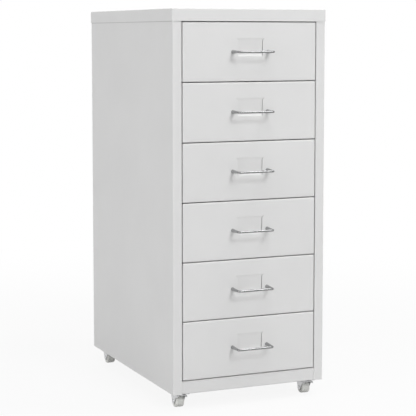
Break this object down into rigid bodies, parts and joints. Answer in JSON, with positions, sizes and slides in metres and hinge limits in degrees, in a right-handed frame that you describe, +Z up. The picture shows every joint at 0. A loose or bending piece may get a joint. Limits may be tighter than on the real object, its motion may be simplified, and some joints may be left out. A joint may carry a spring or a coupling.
{
  "type": "drawer cabinet",
  "caption": "Slim sheet-steel drawer cabinet on small swivel castors, with sliding trays, bow handles and pressed-in label holders.",
  "frame": {"origin": "on the floor, under the middle of the bounding box of the cabinet with its handles", "axes": "+X to the right as seen from the front, -Y out of the drawer fronts, +Z up"},
  "size_m": [0.2818, 0.441, 0.669],
  "materials": {
    "powder_coat": "satin light-grey powder coat",
    "handle_chrome": "polished chrome",
    "runner_steel": "zinc-plated",
    "castor_zinc": "zinc-plated",
    "screw_steel": "zinc-plated",
    "wheel_nylon": "pale grey nylon"
  },
  "bodies": {
    "cabinet": {"left_side": "powder_coat", "right_side": "powder_coat", "back_panel": "powder_coat", "top_cover": "powder_coat", "base_pan": "powder_coat", "runner_left_1": "runner_steel", "runner_left_2": "runner_steel", "runner_left_3": "runner_steel", "runner_left_4": "runner_steel", "runner_left_5": "runner_steel", "runner_left_6": "runner_steel", "runner_right_1": "runner_steel", "runner_right_2": "runner_steel", "runner_right_3": "runner_steel", "runner_right_4": "runner_steel", "runner_right_5": "runner_steel", "runner_right_6": "runner_steel", "carcass_screws": "screw_steel", "castor_screws": "screw_steel", "castor_kingpins": "screw_steel", "castor_plate_front_left": "castor_zinc", "castor_plate_front_right": "castor_zinc", "castor_plate_rear_left": "castor_zinc", "castor_plate_rear_right": "castor_zinc"},
    "drawer_1": {"tray_1": "powder_coat", "front_1": "powder_coat", "handle_1": "handle_chrome", "handle_screws_1": "screw_steel"},
    "drawer_2": {"tray_2": "powder_coat", "front_2": "powder_coat", "handle_2": "handle_chrome", "handle_screws_2": "screw_steel"},
    "drawer_3": {"tray_3": "powder_coat", "front_3": "powder_coat", "handle_3": "handle_chrome", "handle_screws_3": "screw_steel"},
    "drawer_4": {"tray_4": "powder_coat", "front_4": "powder_coat", "handle_4": "handle_chrome", "handle_screws_4": "screw_steel"},
    "drawer_5": {"tray_5": "powder_coat", "front_5": "powder_coat", "handle_5": "handle_chrome", "handle_screws_5": "screw_steel"},
    "drawer_6": {"tray_6": "powder_coat", "front_6": "powder_coat", "handle_6": "handle_chrome", "handle_screws_6": "screw_steel"},
    "fork_front_left": {"castor_fork_front_left": "castor_zinc", "castor_axle_front_left": "screw_steel"},
    "wheel_front_left": {"castor_wheel_front_left": "wheel_nylon"},
    "fork_front_right": {"castor_fork_front_right": "castor_zinc", "castor_axle_front_right": "screw_steel"},
    "wheel_front_right": {"castor_wheel_front_right": "wheel_nylon"},
    "fork_rear_left": {"castor_fork_rear_left": "castor_zinc", "castor_axle_rear_left": "screw_steel"},
    "wheel_rear_left": {"castor_wheel_rear_left": "wheel_nylon"},
    "fork_rear_right": {"castor_fork_rear_right": "castor_zinc", "castor_axle_rear_right": "screw_steel"},
    "wheel_rear_right": {"castor_wheel_rear_right": "wheel_nylon"}
  },
  "joints": [
    {"name": "drawer_1_slide", "type": "slide", "parent": "cabinet", "child": "drawer_1", "axis": [0, -1, 0], "range_m": [0, 0.3]},
    {"name": "drawer_2_slide", "type": "slide", "parent": "cabinet", "child": "drawer_2", "axis": [0, -1, 0], "range_m": [0, 0.3]},
    {"name": "drawer_3_slide", "type": "slide", "parent": "cabinet", "child": "drawer_3", "axis": [0, -1, 0], "range_m": [0, 0.3]},
    {"name": "drawer_4_slide", "type": "slide", "parent": "cabinet", "child": "drawer_4", "axis": [0, -1, 0], "range_m": [0, 0.3]},
    {"name": "drawer_5_slide", "type": "slide", "parent": "cabinet", "child": "drawer_5", "axis": [0, -1, 0], "range_m": [0, 0.3]},
    {"name": "drawer_6_slide", "type": "slide", "parent": "cabinet", "child": "drawer_6", "axis": [0, -1, 0], "range_m": [0, 0.3]},
    {"name": "front_left_swivel", "type": "hinge", "parent": "cabinet", "child": "fork_front_left", "pos_m": [-0.119, -0.1675, 0.023], "axis": [0, 0, 1], "continuous": true},
    {"name": "front_left_roll", "type": "hinge", "parent": "fork_front_left", "child": "wheel_front_left", "pos_m": [-0.119, -0.162, 0.0105], "axis": [1, 0, 0], "continuous": true},
    {"name": "front_right_swivel", "type": "hinge", "parent": "cabinet", "child": "fork_front_right", "pos_m": [0.119, -0.1675, 0.023], "axis": [0, 0, 1], "continuous": true},
    {"name": "front_right_roll", "type": "hinge", "parent": "fork_front_right", "child": "wheel_front_right", "pos_m": [0.119, -0.162, 0.0105], "axis": [1, 0, 0], "continuous": true},
    {"name": "rear_left_swivel", "type": "hinge", "parent": "cabinet", "child": "fork_rear_left", "pos_m": [-0.119, 0.1795, 0.023], "axis": [0, 0, 1], "continuous": true},
    {"name": "rear_left_roll", "type": "hinge", "parent": "fork_rear_left", "child": "wheel_rear_left", "pos_m": [-0.119, 0.185, 0.0105], "axis": [1, 0, 0], "continuous": true},
    {"name": "rear_right_swivel", "type": "hinge", "parent": "cabinet", "child": "fork_rear_right", "pos_m": [0.119, 0.1795, 0.023], "axis": [0, 0, 1], "continuous": true},
    {"name": "rear_right_roll", "type": "hinge", "parent": "fork_rear_right", "child": "wheel_rear_right", "pos_m": [0.119, 0.185, 0.0105], "axis": [1, 0, 0], "continuous": true}
  ]
}
